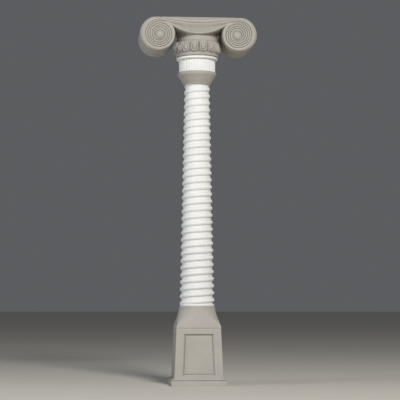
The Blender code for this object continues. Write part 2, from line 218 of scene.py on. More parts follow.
# The white's dark colour also darkens its hollows, as dust and painted shade.
WHITE_DUST_AND_SHADE = (0.560, 0.560, 0.565, 1.0)
WHITE_WORN = (0.900, 0.898, 0.880, 1.0)
CLOUD_SCALE = 7.0
MOTTLE_SCALE = 45.0
GRAIN_SCALE = 900.0
PINHOLE_SCALE = 90.0
PINHOLE_SHARE = 0.10
PINHOLE_SOFTNESS = 0.02
PINHOLE_RANGE = (0.16, 0.05)
PINHOLE_DUST = 0.6
# Pointiness that counts as a hollow, where dust and painted shade are laid.
HOLLOW_DUST_AND_SHADE_RANGE = (0.492, 0.452)
ARRIS_RANGE = (0.51, 0.60)
WORN_PATCHES = (0.35, 0.60)
CLOUD_SHARE, MOTTLE_SHARE = 0.65, 0.35
CLOUD_RANGE = (0.36, 0.64)
SAND_RANGE = (0.62, 0.72)
SAND_DUST = 0.22


def colour_mix(finish, share, first, second):
    return finish.node("ShaderNodeMix", {"data_type": "RGBA"}, {0: share, 6: first, 7: second}, 2)


def threshold(finish, value, low, high):
    """0 below low and 1 above high, or the other way round where low is the larger."""
    settings = {"clamp": True, "interpolation_type": "SMOOTHSTEP"}
    return finish.node("ShaderNodeMapRange", settings, {"Value": value, "From Min": low, "From Max": high})


def stone(name, colours, hollow_dust_and_shade, worn, grain_depth, roughness):
    base, shade_colour, dust_and_shade_colour, worn_colour = colours
    finish = Finish(name)
    place = finish.node("ShaderNodeTexCoord", {}, {}, "Object")

    def noise(scale, detail):
        inputs = {"Vector": place, "Scale": scale, "Detail": detail}
        return finish.node("ShaderNodeTexNoise", {}, inputs, "Fac")

    clouds = noise(CLOUD_SCALE, 4.0)
    mottle = noise(MOTTLE_SCALE, 3.0)
    grain = noise(GRAIN_SCALE, 2.0)
    cells = {"Vector": place, "Scale": PINHOLE_SCALE}
    distance = finish.node("ShaderNodeTexVoronoi", {}, cells, "Distance")
    chosen = finish.node("ShaderNodeTexVoronoi", {}, cells, "Color")
    holed = threshold(finish, chosen, 1.0 - PINHOLE_SHARE, 1.0 - PINHOLE_SHARE + PINHOLE_SOFTNESS)
    pinhole = holed * threshold(finish, distance, *PINHOLE_RANGE)
    pointed = finish.node("ShaderNodeNewGeometry", {}, {}, "Pointiness")
    # Hollows found by pointiness are darkened with painted shade as well as dust.
    hollow_dust_and_shade_mask = threshold(finish, pointed, *HOLLOW_DUST_AND_SHADE_RANGE)
    arris = threshold(finish, pointed, *ARRIS_RANGE)
    cloudy = threshold(finish, clouds * CLOUD_SHARE + mottle * MOTTLE_SHARE, *CLOUD_RANGE)
    colour = colour_mix(finish, cloudy, base, shade_colour)
    worn_share = arris * threshold(finish, mottle, *WORN_PATCHES) * worn
    colour = colour_mix(finish, worn_share, colour, worn_colour)
    # Hollows darkened: partly dust, partly painted shade in grooves and creases.
    colour = colour_mix(finish, hollow_dust_and_shade_mask * hollow_dust_and_shade * (mottle * 0.8 + 0.5), colour, dust_and_shade_colour)
    colour = colour_mix(finish, pinhole * PINHOLE_DUST, colour, dust_and_shade_colour)
    colour = colour_mix(finish, threshold(finish, grain, *SAND_RANGE) * SAND_DUST, colour, dust_and_shade_colour)
    height = grain * 0.30 + mottle * 0.45 - pinhole
    relief = {"Height": height, "Strength": 1.0, "Distance": grain_depth}
    bump = finish.node("ShaderNodeBump", {}, relief, "Normal")
    finish.feed(finish.shader.inputs["Base Color"], colour)
    finish.feed(finish.shader.inputs["Roughness"], mottle * 0.16 + (roughness - 0.08))
    finish.feed(finish.shader.inputs["Normal"], bump)
    finish.shader.inputs["Metallic"].default_value = 0.0
    finish.shader.inputs["Specular IOR Level"].default_value = 0.35
    print(f"{name}: {len(finish.tree.nodes)} nodes")
    return finish.material


grey_stone = stone("warm_grey_cast_stone", (GREY, GREY_SHADE, GREY_DUST_AND_SHADE, GREY_WORN),
                   hollow_dust_and_shade=1.0, worn=0.8, grain_depth=0.0009, roughness=0.78)
# The pedestal's finish: a paler copy of the warm grey, partly painted light.
painted_light_pale_grey_stone = stone("paler_grey_cast_stone_with_painted_light", (PAINTED_LIGHT_PALE_GREY, PAINTED_LIGHT_PALE_GREY_SHADE, GREY_DUST_AND_SHADE, PAINTED_LIGHT_PALE_GREY_WORN),
                        hollow_dust_and_shade=1.0, worn=0.8, grain_depth=0.0009, roughness=0.78)
white_stone = stone("white_cast_stone", (WHITE, WHITE_SHADE, WHITE_DUST_AND_SHADE, WHITE_WORN),
                    hollow_dust_and_shade=0.55, worn=0.6, grain_depth=0.0006, roughness=0.62)

# %% [markdown]
# ## The pedestal
#
# The pedestal is cast in one: a plinth, a sloping weathering, a tapered die with a sunk panel on
# each side, and a flare that turns from square to round. Every level of it is drawn with one
# formula, |x|^p + |y|^p = 1. At p = 2 that is a circle, and at a high p a square with a softly
# worn arris, so the flare's corners melt away as p falls. The columns of the grid keep their
# distance from the arris, so that two of them always run along the panel's edge.

# %% Pedestal: sizes and levels
PLINTH_HEIGHT = 0.0415
WEATHERING_HEIGHT = 0.0145
DIE_HEIGHT = 0.356
DIE_FOOT_SIDE = 0.357
DIE_HEAD_SIDE = 0.325
FLARE_TOP_RADIUS = 0.133
FLARE_CORNER_SHARE = 0.85
PANEL_FOOT_MARGIN = 0.0155
PANEL_HEAD_MARGIN = 0.038
PANEL_SIDE_MARGIN = 0.057
PANEL_DEPTH = 0.011
PANEL_BEVEL = 0.010
PANEL_LINE_DEPTH = 0.0035
PANEL_LINE_WIDTH = 0.0020
ARRIS_POWER = 110.0
ARRIS_WEAR = 0.0025
HEAD_LINE_DEPTH = 0.0015
HEAD_LINE_WIDTH = 0.0040
HEAD_ROLL_RISE = 0.0012
PLINTH_LINE_DEPTH = 0.0040
PLINTH_LINE_HEIGHT = 0.0032
COVE_HEIGHT = 0.006
HEAD_QUIRK = 0.0022
HEAD_QUIRK_PROFILE = ((3.0, 0.0), (2.7, 0.7), (2.4, 1.0), (1.9, 1.0),
                      (1.6, 0.7), (1.3, 0.0), (0.4, 0.1), (0.0, 0.4))
PLINTH_CROWN_HEIGHT = 0.0012
PLINTH_CROWN_SETBACK = 0.0012
LINE_EDGE = 0.0004
WEATHERING_SETBACK = 0.0026
PANEL_QUIRK_SHARE = 0.25
HEAD_ROLL_PLACE = 0.10
HEAD_ROLL_WIDTH = 0.06

plinth_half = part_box("pedestal")[1].x
weathering_top = PLINTH_HEIGHT + WEATHERING_HEIGHT
die_top = weathering_top + DIE_HEIGHT
panel_foot = weathering_top + PANEL_FOOT_MARGIN
panel_head = die_top - PANEL_HEAD_MARGIN
bevel_steps = np.array([-0.08, 0.0, 0.05, 0.12, 0.22, 0.34, 0.47, 0.60, 0.72, 0.82,
                        0.90, 0.96, 1.02, 1.08, 1.14, 1.21, 1.30, 1.42]) * PANEL_BEVEL


def die_half(height):
    return mix(DIE_FOOT_SIDE, DIE_HEAD_SIDE, (height - weathering_top) / DIE_HEIGHT) / 2.0


def power_for(squareness):
    """The formula's power whose corner reaches as far as a blend of circle and square does."""
    reach = math.log2(1.0 + (math.sqrt(2.0) - 1.0) * squareness)
    return min(1.0 / max(0.5 - reach, 1e-6), ARRIS_POWER)


def pedestal_levels():
    """(height, half side, power) of every level, from the foot up."""
    wear = ARRIS_WEAR
    levels = [(0.0, plinth_half - wear, ARRIS_POWER), (0.3 * wear, plinth_half - 0.3 * wear, ARRIS_POWER),
              (wear, plinth_half, ARRIS_POWER)]
    line_foot = PLINTH_HEIGHT - PLINTH_LINE_HEIGHT - PLINTH_CROWN_HEIGHT
    levels += [(height, plinth_half, ARRIS_POWER) for height in np.linspace(2.0 * wear, line_foot - wear, 5)]
    levels += [(line_foot - 0.2 * wear, plinth_half - 0.3 * wear, ARRIS_POWER),
               (line_foot, plinth_half - wear, ARRIS_POWER),
               (line_foot + LINE_EDGE, plinth_half - PLINTH_LINE_DEPTH, ARRIS_POWER),
               (line_foot + PLINTH_LINE_HEIGHT, plinth_half - PLINTH_LINE_DEPTH, ARRIS_POWER),
               (line_foot + PLINTH_LINE_HEIGHT + LINE_EDGE, plinth_half - PLINTH_CROWN_SETBACK, ARRIS_POWER),
               (PLINTH_HEIGHT, plinth_half - 0.0016, ARRIS_POWER)]
    slope_foot, slope_head = plinth_half - WEATHERING_SETBACK, die_half(weathering_top)
    for share in (0.2, 0.4, 0.6):
        height = mix(PLINTH_HEIGHT, weathering_top, share)
        levels.append((height, mix(slope_foot, slope_head, share), ARRIS_POWER))
    cove_foot = mix(PLINTH_HEIGHT, weathering_top, 0.7)
    cove_half = mix(slope_foot, slope_head, 0.7)
    for share in np.linspace(0.15, 0.9, 6):
        height = mix(cove_foot, weathering_top + 0.3 * COVE_HEIGHT, share ** 1.4)
        half = mix(cove_half, slope_head, 1.0 - (1.0 - share) ** 2)
        levels.append((height, half, ARRIS_POWER))
    heights = [weathering_top + COVE_HEIGHT, mix(weathering_top + COVE_HEIGHT, panel_foot, 0.6)]
    heights += list(panel_foot + bevel_steps)
    heights += list(np.linspace(panel_foot + 2.0 * PANEL_BEVEL, panel_head - 2.0 * PANEL_BEVEL, 24))
    heights += list(panel_head - bevel_steps[::-1])
    heights += [mix(panel_head, die_top, share) for share in (0.3, 0.6, 0.85)]
    levels += [(height, die_half(height), ARRIS_POWER) for height in heights]
    flare_height = HEAD["pedestal"] - die_top
    for offset, depth in ((-1.0, 0.0), (-0.5, 0.5), (-0.15, 1.0), (0.15, 1.0), (0.5, 0.5), (1.0, 0.0)):
        height = die_top + offset * HEAD_LINE_WIDTH
        levels.append((height, die_half(die_top) - depth * HEAD_LINE_DEPTH, ARRIS_POWER))
    for share in np.linspace(0.05, 1.0, 44):
        roll = HEAD_ROLL_RISE * float(dip(share - HEAD_ROLL_PLACE, HEAD_ROLL_WIDTH))
        half = mix(DIE_HEAD_SIDE / 2.0, FLARE_TOP_RADIUS, float(smooth(share))) + roll
        squareness = 1.0 - float(smooth(share / FLARE_CORNER_SHARE))
        levels.append((die_top + share * flare_height, half, power_for(squareness)))
    height, half, power = levels.pop()
    for down, inwards in HEAD_QUIRK_PROFILE:
        levels.append((height - down * HEAD_QUIRK, half - inwards * HEAD_QUIRK, power))
    return levels


# %% Pedestal: the grid
def face_places(half):
    """Where the grid's columns cross one face, from its left arris to its middle and on."""
    arris = [0.0, 0.0008, 0.0016, 0.0026, 0.004, 0.006, 0.010, 0.018, 0.030, 0.044, 0.054]
    panel = list(PANEL_SIDE_MARGIN + bevel_steps) + [PANEL_SIDE_MARGIN + 2.0 * PANEL_BEVEL]
    left = [-half + distance for distance in arris + panel]
    inner = [left[-1] * share for share in (0.66, 0.33)]
    side = left + inner
    return np.array(side + [0.0] + [-place for place in reversed(side[1:])])


def panel_depth(height, place, half):
    """How far the panel's ogee edge or its field lies behind the face."""
    from_ends = min(height - panel_foot, panel_head - height)
    inside = np.minimum(half - PANEL_SIDE_MARGIN - np.abs(place), from_ends)
    quirk = PANEL_QUIRK_SHARE * PANEL_DEPTH
    edge = np.where(inside > 0.0, quirk, 0.0)
    line = PANEL_LINE_DEPTH * dip(inside - 1.05 * PANEL_BEVEL, PANEL_LINE_WIDTH)
    return edge + (PANEL_DEPTH - quirk) * smooth(inside / PANEL_BEVEL) + line


def pedestal_points():
    rows = []
    for height, half, power in pedestal_levels():
        places = face_places(half)
        across = places / half
        shrink = (1.0 + np.abs(across) ** power) ** (-1.0 / power)
        sunk = panel_depth(height, places, half)
        front = np.stack([places * shrink, -half * shrink + sunk], axis=-1)
        row = []
        for side in range(4):
            turn = side * QUARTER
            spin = np.array([[math.cos(turn), math.sin(turn)], [-math.sin(turn), math.cos(turn)]])
            row.append(front[:-1] @ spin if side else front[:-1])
        flat = np.concatenate(row)
        rows.append(np.column_stack([flat, np.full(len(flat), height)]))
    return np.array(rows)


pedestal_mesh = grid_mesh("pedestal_stone", pedestal_points())
shade(pedestal_mesh, 32.0)
# The pedestal takes the paler grey, which is partly painted light.
dress(link("pedestal_stone", pedestal_mesh), "pedestal", painted_light_pale_grey_stone)

# %% [markdown]
# ## The twisted shaft
#
# A bead and a wider hollow wind up the shaft as one right-handed screw of about 31 turns.
# Blender's Screw modifier sweeps one pitch of the profile into a helix whose rows of faces run
# along the bead, so its edge stays crisp. The helix is made at radius 1 and cut level at both
# ends, and only then is each point moved out to the taper of the shaft.

# %% Shaft: the helix
SHAFT_FOOT_RADIUS = 0.1226
SHAFT_HEAD_RADIUS = 0.0907
TWIST_PITCH = 0.0521
TWIST_FRONT_HEIGHT = 0.0338
TWIST_FOOT_DEPTH = 0.0135
TWIST_HEAD_DEPTH = 0.0085
TWIST_RUN_OUT = 0.022
ROLL_REACH = 0.27
ROLL_DROP = 0.62
HOLLOW_EDGE = -0.24
FOOT_RING_HEIGHT = 0.0165
FOOT_RING_SETBACK = 0.006
FOOT_RING_ROUNDING = 0.005
TWIST_SEGMENTS = 96
TWIST_SPARE = 2
ROLL_SHARPNESS = 2.2
OVER_ROLL_DROP, OVER_ROLL_PLACE, OVER_ROLL_WIDTH = 0.21, 0.06, 0.07
UNDER_ROLL_DROP, UNDER_ROLL_PLACE, UNDER_ROLL_WIDTH = 0.30, 0.90, 0.08
TWIST_SHARES = (1.0, 0.96, 0.92, 0.88, 0.845, 0.81, 0.78, 0.757, 0.742, 0.729, 0.714, 0.70, 0.685,
                0.665, 0.635, 0.595, 0.55, 0.50, 0.45, 0.40, 0.36, 0.33, 0.308, 0.29, 0.272, 0.25,
                0.215, 0.17, 0.125, 0.08, 0.04, 0.0)
WELD_DISTANCE = 0.00005

shaft_height = HEAD["twisted_shaft"] - FOOT["twisted_shaft"]


def twist_rise(share):
    """Rise of the profile over one pitch, in depths: half a roll, a hollow, half the next roll."""
    from_crest = min(share, 1.0 - share)
    if from_crest < ROLL_REACH:
        return 0.5 - ROLL_DROP * (from_crest / ROLL_REACH) ** ROLL_SHARPNESS
    across = (share - ROLL_REACH) / (1.0 - 2.0 * ROLL_REACH)
    floor = HOLLOW_EDGE - (0.5 + HOLLOW_EDGE) * math.sin(math.pi * across)
    over_roll = OVER_ROLL_DROP * math.exp(-((across - OVER_ROLL_PLACE) / OVER_ROLL_WIDTH) ** 2)
    under_roll = UNDER_ROLL_DROP * math.exp(-((across - UNDER_ROLL_PLACE) / UNDER_ROLL_WIDTH) ** 2)
    return floor - over_roll - under_roll


def helix():
    start = TWIST_FRONT_HEIGHT - TWIST_SPARE * TWIST_PITCH
    line = bpy.data.meshes.new("pitch")
    points = [(1.0 + twist_rise(share), 0.0, start + share * TWIST_PITCH) for share in TWIST_SHARES]
    line.from_pydata(points, [(i, i + 1) for i in range(len(points) - 1)], [])
    item = link("pitch", line)
    screw = item.modifiers.new("Twist", "SCREW")
    screw.steps = screw.render_steps = TWIST_SEGMENTS
    screw.screw_offset = TWIST_PITCH
    screw.iterations = math.ceil(shaft_height / TWIST_PITCH) + TWIST_SPARE + 1
    weld = item.modifiers.new("Weld", "WELD")
    weld.merge_threshold = WELD_DISTANCE
    bpy.context.view_layer.update()
    mesh = bpy.data.meshes.new_from_object(item.evaluated_get(bpy.context.evaluated_depsgraph_get()))
    bpy.data.objects.remove(item, do_unlink=True)
    return mesh


def cut_level(build, height, upward):
    """Cuts away what lies above a level, or below it, leaving the body open there."""
    bmesh.ops.bisect_plane(build, geom=[*build.verts, *build.edges, *build.faces], clear_outer=True,
                           plane_co=(0.0, 0.0, height), plane_no=(0.0, 0.0, 1.0 if upward else -1.0))


def shaft_mesh():
    build = bmesh.new()
    build.from_mesh(helix())
    bmesh.ops.rotate(build, verts=build.verts, matrix=Matrix.Rotation(-QUARTER, 3, "Z"))
    cut_level(build, FOOT_RING_HEIGHT / 2.0, False)
    cut_level(build, shaft_height, True)
    for vertex in build.verts:
        height = vertex.co.z
        rise = vertex.co.xy.length - 1.0
        depth = mix(TWIST_FOOT_DEPTH, TWIST_HEAD_DEPTH, height / shaft_height)
        fade = float(smooth((shaft_height - height) / TWIST_RUN_OUT))
        radius = mix(SHAFT_FOOT_RADIUS, SHAFT_HEAD_RADIUS, height / shaft_height) + depth * rise * fade
        vertex.co.xy = vertex.co.xy.normalized() * radius
    bmesh.ops.holes_fill(build, edges=[edge for edge in build.edges if edge.is_boundary], sides=0)
    bmesh.ops.recalc_face_normals(build, faces=build.faces)
    bmesh.ops.translate(build, verts=build.verts, vec=(0.0, 0.0, FOOT["twisted_shaft"]))
    mesh = bpy.data.meshes.new("twisted_shaft_stone")
    build.to_mesh(mesh)
    build.free()
    return mesh


# %% Shaft: its foot ring, and the two made one
def foot_ring_mesh():
    radius = FLARE_TOP_RADIUS - FOOT_RING_SETBACK
    low, high = FOOT["twisted_shaft"], FOOT["twisted_shaft"] + FOOT_RING_HEIGHT
    outline = [(radius - FOOT_RING_ROUNDING / 2.0, low)]
    centre = radius - FOOT_RING_ROUNDING
    size = (FOOT_RING_ROUNDING, FOOT_RING_ROUNDING)
    outline += arc((centre, low + FOOT_RING_ROUNDING), size, -60.0, 0.0, 5)
    outline += arc((centre, high - FOOT_RING_ROUNDING), size, 0.0, 90.0, 8)
    radii, heights = zip(*outline)
    return grid_mesh("foot_ring", turned(radii, heights, TWIST_SEGMENTS))


def join(piece, tool, operation):
    """Joins or cuts a piece with another body, which is then removed."""
    modifier = piece.modifiers.new("Join", "BOOLEAN")
    modifier.operation = operation
    modifier.object = tool
    bpy.context.view_layer.update()
    mesh = bpy.data.meshes.new_from_object(piece.evaluated_get(bpy.context.evaluated_depsgraph_get()))
    piece.modifiers.clear()
    piece.data = mesh
    bpy.data.objects.remove(tool, do_unlink=True)


shaft = link("twisted_shaft_stone", shaft_mesh())
join(shaft, link("foot_ring", foot_ring_mesh()), "UNION")
shade(shaft.data, 42.0)
dress(shaft, "twisted_shaft", white_stone)

# %% [markdown]
# ## The collar
#
# The collar is a plain bell. It begins with a narrow lip where it sits on the shaft, slants out,
# and rounds in again under the necking. It is a turned body, so a list of arcs is all it needs.

# %% Collar
COLLAR_LIP_PROJECTION = 0.0115
COLLAR_LIP_HEIGHT = 0.007
COLLAR_BELLY_RADIUS = 0.1445
COLLAR_BELLY_HEIGHT = 0.0775
COLLAR_BELLY_DROP = 0.020
NECK_RADIUS = 0.1352
COLLAR_WEAR = 0.0015
TURNED_COLUMNS = 160


def collar_outline():
    height = HEAD["collar"] - FOOT["collar"]
    lip = SHAFT_HEAD_RADIUS + COLLAR_LIP_PROJECTION
    wear = COLLAR_WEAR
    outline = [(lip - wear, 0.0), (lip - 0.3 * wear, 0.3 * wear), (lip, wear),
               (lip, COLLAR_LIP_HEIGHT - wear), (lip + 0.2 * wear, COLLAR_LIP_HEIGHT),
               (lip + wear, COLLAR_LIP_HEIGHT + wear)]
    belly = arc((COLLAR_BELLY_RADIUS - COLLAR_BELLY_DROP, COLLAR_BELLY_HEIGHT),
                (COLLAR_BELLY_DROP, COLLAR_BELLY_DROP), -45.0, 0.0, 8)
    slant = [(mix(lip + wear, belly[0][0], share), mix(COLLAR_LIP_HEIGHT + wear, belly[0][1], share))
             for share in np.linspace(0.1, 0.95, 10)]
    crown_size = (COLLAR_BELLY_RADIUS - NECK_RADIUS, height - COLLAR_BELLY_HEIGHT)
    crown = arc((NECK_RADIUS, COLLAR_BELLY_HEIGHT), crown_size, 0.0, 90.0, 12)
    return outline + slant + belly + crown[1:]


radii, heights = zip(*collar_outline())
collar_mesh = grid_mesh("collar_stone", turned(radii, np.array(heights) + FOOT["collar"], TURNED_COLUMNS))
shade(collar_mesh)
dress(link("collar_stone", collar_mesh), "collar", grey_stone)

# %% [markdown]
# ## The necking
#
# The necking is a drum with sixty upright reeds, under a half-round ring. Each reed is a shallow
# half-round with a sharp line between it and the next. One grid makes the whole piece: the rows
# of the drum wave in and out with the reeds, and the rows of the ring do not.

# %% Necking
REED_COUNT = 60
REED_DEPTH = 0.0035
REED_COLUMNS = 10
NECK_RING_HEIGHT = 0.0215
NECK_RING_PROJECTION = 0.0186


def necking_points():
    height = HEAD["necking"] - FOOT["necking"]
    reed_top = height - NECK_RING_HEIGHT
    columns = REED_COUNT * REED_COLUMNS
    angle = np.arange(columns) * TURN / columns - QUARTER
    across = (np.arange(columns) % REED_COLUMNS) / REED_COLUMNS * 2.0 - 1.0
    reeded = NECK_RADIUS - REED_DEPTH * (1.0 - np.sqrt(np.maximum(1.0 - across ** 2, 0.0)))
    half = NECK_RING_HEIGHT / 2.0
    outer = NECK_RADIUS + NECK_RING_PROJECTION
    rows = [(level, 0.0, 1.0) for level in np.linspace(0.0, reed_top, 14)]
    rows.append((reed_top + 0.0004, NECK_RADIUS + 0.0006, 0.0))
    rows.append((reed_top + 0.0004, outer - half, 0.0))
    ring = arc((outer - half, reed_top + half), (half, half - 0.0004), -90.0, 90.0, 18)
    rows += [(level, radius, 0.0) for radius, level in ring[1:]]
    points = []
    for level, radius, share in rows:
        reach = mix(radius, reeded, share)
        points.append(np.column_stack([reach * np.cos(angle), reach * np.sin(angle),
                                       np.full(columns, level + FOOT["necking"])]))
    return np.array(points)


necking_mesh = grid_mesh("necking_stone", necking_points())
shade(necking_mesh, 38.0)
dress(link("necking_stone", necking_mesh), "necking", white_stone)

# %% [markdown]
# ## The echinus with its eggs and darts
#
# Under the cushion the capital is round: a narrow band, a cove, an ovolo carved with eggs, each in
# its own shell, with a dart between each two, and a plain drum that ends just inside the cushion's
# belly. Carving follows the ovolo's curve, so it is made as a height over that surface: each point
# of a fine turned grid moves out along the curve's normal by what stands there. Separate eggs
# stuck on would show a seam all round.

# %% Echinus: its profile
ECHINUS_LIP_RADIUS = 0.1745
ECHINUS_LIP_HEIGHT = 0.047
ECHINUS_BAND_RADIUS = 0.1575
ECHINUS_BAND_HEIGHT = 0.009
ECHINUS_BAND_LINE = 0.003
ECHINUS_COVE_RADIUS = 0.1680
ECHINUS_COVE_HEIGHT = 0.0320
OVOLO_RADIUS = 0.143
OVOLO_RISE = 0.068
DRUM_RADIUS = 0.151
CAPITAL_HEIGHT = HEAD["capital"] - FOOT["capital"]
CUSHION_SAG_HEIGHT = 0.153
CUSHION_SAG_RADIUS = 0.345
DRUM_INSIDE = 0.008
COVE_ARC = 60.0
COVE_ARC_HEIGHT = 0.866
BAND_ROUNDING = 0.0015
EGG_COUNT = 16
EGG_COLUMNS = 60


def echinus_outline():
    """(radius, height) from the foot up."""
    foot = NECK_RADIUS + NECK_RING_PROJECTION
    band = ECHINUS_BAND_RADIUS
    rounding = BAND_ROUNDING
    outline = [(foot, 0.0), (foot, ECHINUS_BAND_LINE - 0.0005), (band - rounding, ECHINUS_BAND_LINE)]
    outline += [(band - 0.3 * rounding, ECHINUS_BAND_LINE + 0.3 * rounding),
                (band, ECHINUS_BAND_LINE + rounding)]
    wide = 2.0 * (ECHINUS_COVE_RADIUS - band)
    tall = (ECHINUS_COVE_HEIGHT - ECHINUS_BAND_HEIGHT) / math.sin(math.radians(COVE_ARC))
    outline += arc((band + wide, ECHINUS_BAND_HEIGHT), (-wide, tall), 0.0, COVE_ARC, 16)
    drop = ECHINUS_LIP_HEIGHT - ECHINUS_COVE_HEIGHT
    shrink = ECHINUS_LIP_RADIUS - ECHINUS_COVE_RADIUS
    under = arc((0.0, 0.0), (1.0, 1.0), -COVE_ARC, 0.0, 14)
    for across, up in under[1:-1]:
        radius = ECHINUS_LIP_RADIUS - 2.0 * shrink * (1.0 - across)
        outline.append((radius, ECHINUS_LIP_HEIGHT + drop * up / COVE_ARC_HEIGHT))
    ovolo = ECHINUS_LIP_RADIUS - OVOLO_RADIUS
    end = math.degrees(math.acos((DRUM_RADIUS - OVOLO_RADIUS) / ovolo))
    outline += arc((OVOLO_RADIUS, ECHINUS_LIP_HEIGHT), (ovolo, OVOLO_RISE), 0.0, end, 48)
    drum_foot = outline[-1][1]
    for share in (0.05, 0.3, 0.7, 1.0):
        outline.append((DRUM_RADIUS, mix(drum_foot, CUSHION_SAG_HEIGHT, share)))
    return np.array(outline)


# %% Echinus: the carving
EGG_HALF_WIDTH = 0.0165
EGG_HALF_LENGTH = 0.0242
EGG_MIDDLE = 0.0620
EGG_PROJECTION = 0.0098
SHELL_HALF_WIDTH = 0.0240
SHELL_HALF_LENGTH = 0.0310
SHELL_THICKNESS = 0.0050
SHELL_PROJECTION = 0.0055
CARVING_FOOT = 0.0250
CARVING_HEAD = 0.1080
SLIT_WIDTH = 0.0045
SLIT_DEPTH = 0.0050
DART_HALF_WIDTH = 0.0030
DART_PROJECTION = 0.0075
DART_HEAD = 0.0940
DART_FOOT_SHARE = 0.15
DART_SOFTNESS = 0.008
EGG_NARROWING = 0.12
SHELL_ROUNDNESS = 0.7
CARVING_FOOT_FADE = 0.008
CARVING_HEAD_FADE = 0.006


def carving(along, level):
    """Height of the carving at a distance from an egg's middle and a level above the foot."""
    up = level - EGG_MIDDLE
    narrow = 1.0 + EGG_NARROWING * np.clip(up / EGG_HALF_LENGTH, -1.0, 1.0)
    reach = np.hypot(along / (EGG_HALF_WIDTH * narrow), up / EGG_HALF_LENGTH)
    egg = EGG_PROJECTION * np.clip(1.0 - reach ** 2, 0.0, 1.0)
    around = np.hypot(along / SHELL_HALF_WIDTH, min(up, 0.0) / SHELL_HALF_LENGTH)
    off_shell = (around - 1.0) * SHELL_HALF_WIDTH / SHELL_THICKNESS
    shell = SHELL_PROJECTION * np.clip(1.0 - off_shell ** 2, 0.0, 1.0) ** SHELL_ROUNDNESS
    gap = np.abs(along) - math.pi * ECHINUS_LIP_RADIUS / EGG_COUNT
    slit = SLIT_DEPTH * dip(gap, SLIT_WIDTH)
    risen = (level - CARVING_FOOT) / (DART_HEAD - CARVING_FOOT)
    point = np.clip(mix(DART_FOOT_SHARE, 1.0, risen), DART_FOOT_SHARE, 1.0)
    dart = DART_PROJECTION * np.clip(1.0 - np.abs(gap) / (DART_HALF_WIDTH * point), 0.0, 1.0)
    dart = dart * smooth((DART_HEAD - level) / DART_SOFTNESS)
    carved = np.maximum(egg, shell) - slit + dart
    over_foot = smooth((level - CARVING_FOOT) / CARVING_FOOT_FADE)
    return carved * (over_foot * smooth((CARVING_HEAD - level) / CARVING_HEAD_FADE))


def echinus_points():
    outline = echinus_outline()
    columns = EGG_COUNT * EGG_COLUMNS
    step = TURN / columns
    angle = np.arange(columns) * step - QUARTER
    offset = (np.arange(columns) % EGG_COLUMNS) * step - math.pi / EGG_COUNT
    along = offset * ECHINUS_LIP_RADIUS
    slope = np.gradient(outline, axis=0)
    normal = np.column_stack([slope[:, 1], -slope[:, 0]])
    normal /= np.linalg.norm(normal, axis=1)[:, None]
    rows = []
    for (radius, level), (out, up) in zip(outline, normal):
        height = carving(along, level)
        reach = radius + out * height
        rows.append(np.column_stack([reach * np.cos(angle), reach * np.sin(angle),
                                     FOOT["capital"] + level + up * height]))
    head = rows[-1].copy()
    belly = CUSHION_SAG_RADIUS - np.sqrt(CUSHION_SAG_RADIUS ** 2 - head[:, 0] ** 2)
    head[:, 2] += belly + DRUM_INSIDE
    return np.array(rows + [head])


echinus_mesh = grid_mesh("capital_echinus", echinus_points())
shade(echinus_mesh, 45.0)
dress(link("capital_echinus", echinus_mesh), "capital", grey_stone)

# %% [markdown]
# ## The lines that run over the cushion and into the volutes
#
# A volute is the end of a rolled-up cushion. Two fine grooves come along the cushion, sag in its
# middle, rise to the top of each volute and wind in to its eye, half a pitch apart. Both the
# cushion and the volutes read their relief from the functions below, so that a groove leaves one
# and enters the other at the same place. Distances are measured from the volute's eye: out, away
# from the column, and up.

# %% Relief shared by the cushion and the volutes
CAPITAL_DEPTH = 0.333
VOLUTE_SPACING = 0.606
VOLUTE_HEIGHT = 0.1567
VOLUTE_RADIUS = 0.131
VOLUTE_FACE_RADIUS = 0.105
VOLUTE_SHOULDER_LENGTH = 0.042
EYE_SPACING = 0.571
EYE_HEIGHT = 0.1456
EYE_RADIUS = 0.024
EYE_RISE = 0.009
VOLUTE_TOP_SINK = 0.0008
CUSHION_SETBACK = 0.0003
GROOVE_DEPTH = 0.0062
GROOVE_WIDTH = 0.0036
SPIRAL_START = 0.1121
SPIRAL_PITCH = 0.032
SPIRAL_SECOND = 0.52
SPIRAL_POLE_OUT = 0.0025
SPIRAL_POLE_UP = 0.0051
LINE_HALF_WIDTH = 0.245
UPPER_LINE_SAG = 0.0263
LOWER_LINE_SAG = 0.047
LOWER_LINE_END = 0.100
LOWER_LINE_FULL = 0.200
EYE_RING_RADIUS = 0.0335
SPIRAL_END_RADIUS = 0.040
SPIRAL_END_START = 0.003
SPIRAL_END_FADE = 0.005
SAG_SHARPNESS = 1.3

eye_x = EYE_SPACING / 2.0
upper_line_height = SPIRAL_START + SPIRAL_POLE_UP
lower_line_height = upper_line_height - SPIRAL_SECOND * SPIRAL_PITCH


def sagging(x, height, sag):
    """A line over the cushion, as a height above the eyes."""
    share = np.clip(1.0 - (x / LINE_HALF_WIDTH) ** 2, 0.0, 1.0)
    return height - sag * share ** SAG_SHARPNESS


def spiral_relief(out, up):
    """Grooves that wind from the volute's top, outward and down, in to the ring round its eye."""
    pole_out, pole_up = out - SPIRAL_POLE_OUT, up - SPIRAL_POLE_UP
    reach = np.hypot(pole_out, pole_up)
    turn = (np.arctan2(pole_out, pole_up) / TURN) % 1.0
    passed = (SPIRAL_START - reach) / SPIRAL_PITCH - turn
    eye_reach = np.hypot(out, up)
    within = smooth((eye_reach - SPIRAL_END_RADIUS + SPIRAL_END_START) / SPIRAL_END_FADE)
    relief = 0.0 * reach
    for start in (0.0, SPIRAL_SECOND):
        nearest = np.maximum(np.round(passed - start), 0.0)
        relief -= GROOVE_DEPTH * dip((passed - start - nearest) * SPIRAL_PITCH, GROOVE_WIDTH)
    return relief * within - GROOVE_DEPTH * dip(eye_reach - EYE_RING_RADIUS, GROOVE_WIDTH)


